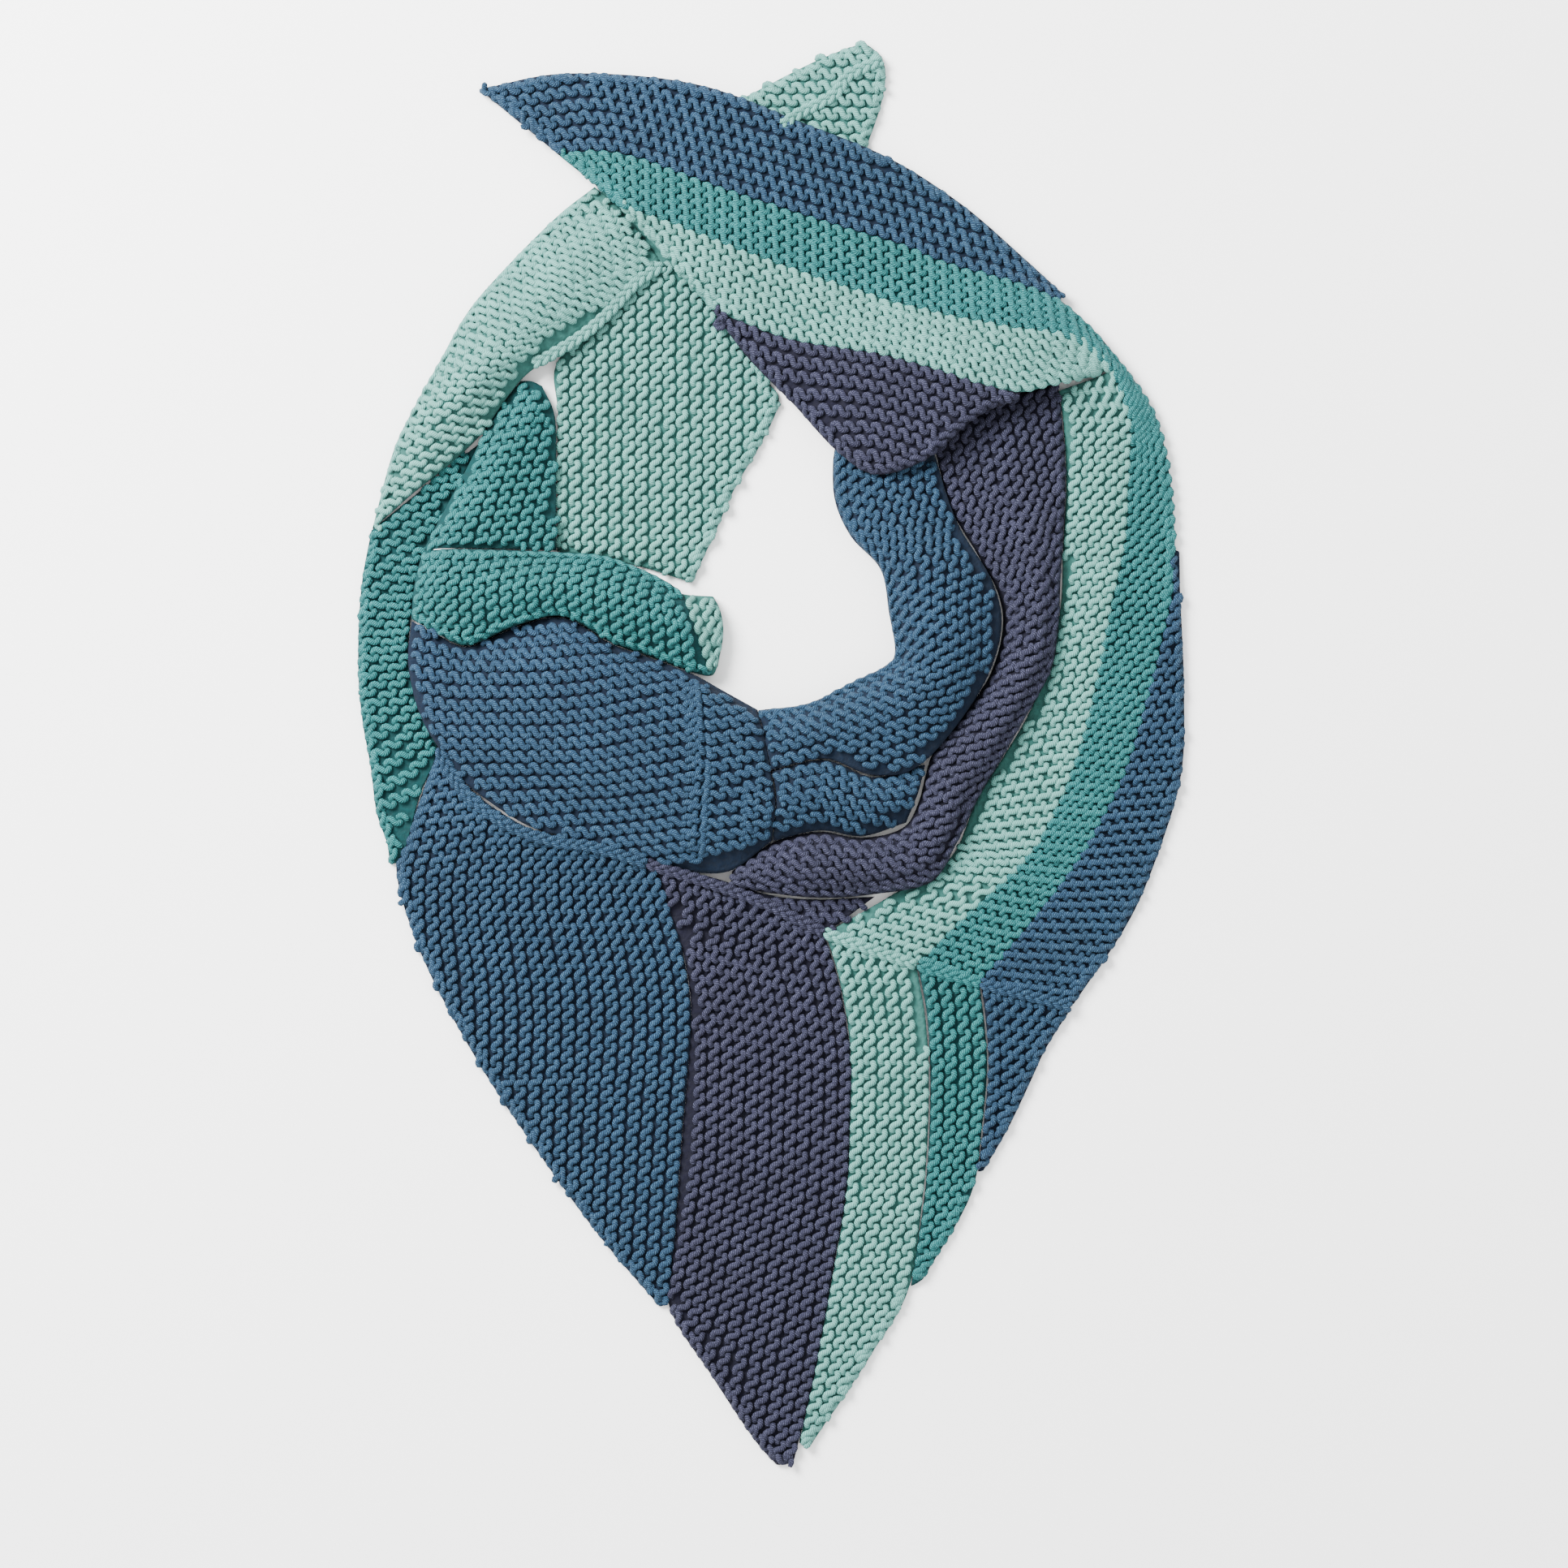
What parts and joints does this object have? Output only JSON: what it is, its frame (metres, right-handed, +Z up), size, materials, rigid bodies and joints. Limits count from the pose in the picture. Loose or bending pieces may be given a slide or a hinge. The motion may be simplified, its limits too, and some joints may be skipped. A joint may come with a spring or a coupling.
{
  "type": "knitted shawl",
  "caption": "Garter-stitch shawl in wide colour stripes with a mitred spine, laid flat as if wrapped round a neck, ends crossed at the top and point hanging down.",
  "frame": {"origin": "centre of the bounding box in plan, on the surface that the shawl lies on", "axes": "+Y from the hanging point towards the crossed ends, +X to the right as seen from above, +Z up from the table"},
  "size_m": [0.3456, 0.5942, 0.0262],
  "materials": {
    "mint": "matt wool, garter stitch",
    "teal": "matt heathered wool, garter stitch",
    "denim": "matt heathered wool, garter stitch",
    "aubergine": "matt heathered wool, garter stitch"
  },
  "bodies": {
    "root": {"wing_navy": "denim", "wing_teal": "teal", "wing_mint": "mint", "wing_aubergine": "aubergine", "wing_core": "aubergine", "roll_teal": "teal", "roll_mint": "mint", "neck_roll": "denim", "neck_dome": "denim", "neck_fold": "denim", "roll_aubergine": "aubergine", "left_fold_mint": "mint", "start_mint": "mint", "triangle_teal": "teal", "panel_mint": "mint", "left_teal": "teal", "right_navy": "denim", "right_teal": "teal", "right_mint": "mint", "under_aubergine": "aubergine", "front_denim": "denim", "front_aubergine": "aubergine", "front_mint": "mint", "front_teal": "teal", "front_navy": "denim"}
  },
  "joints": []
}
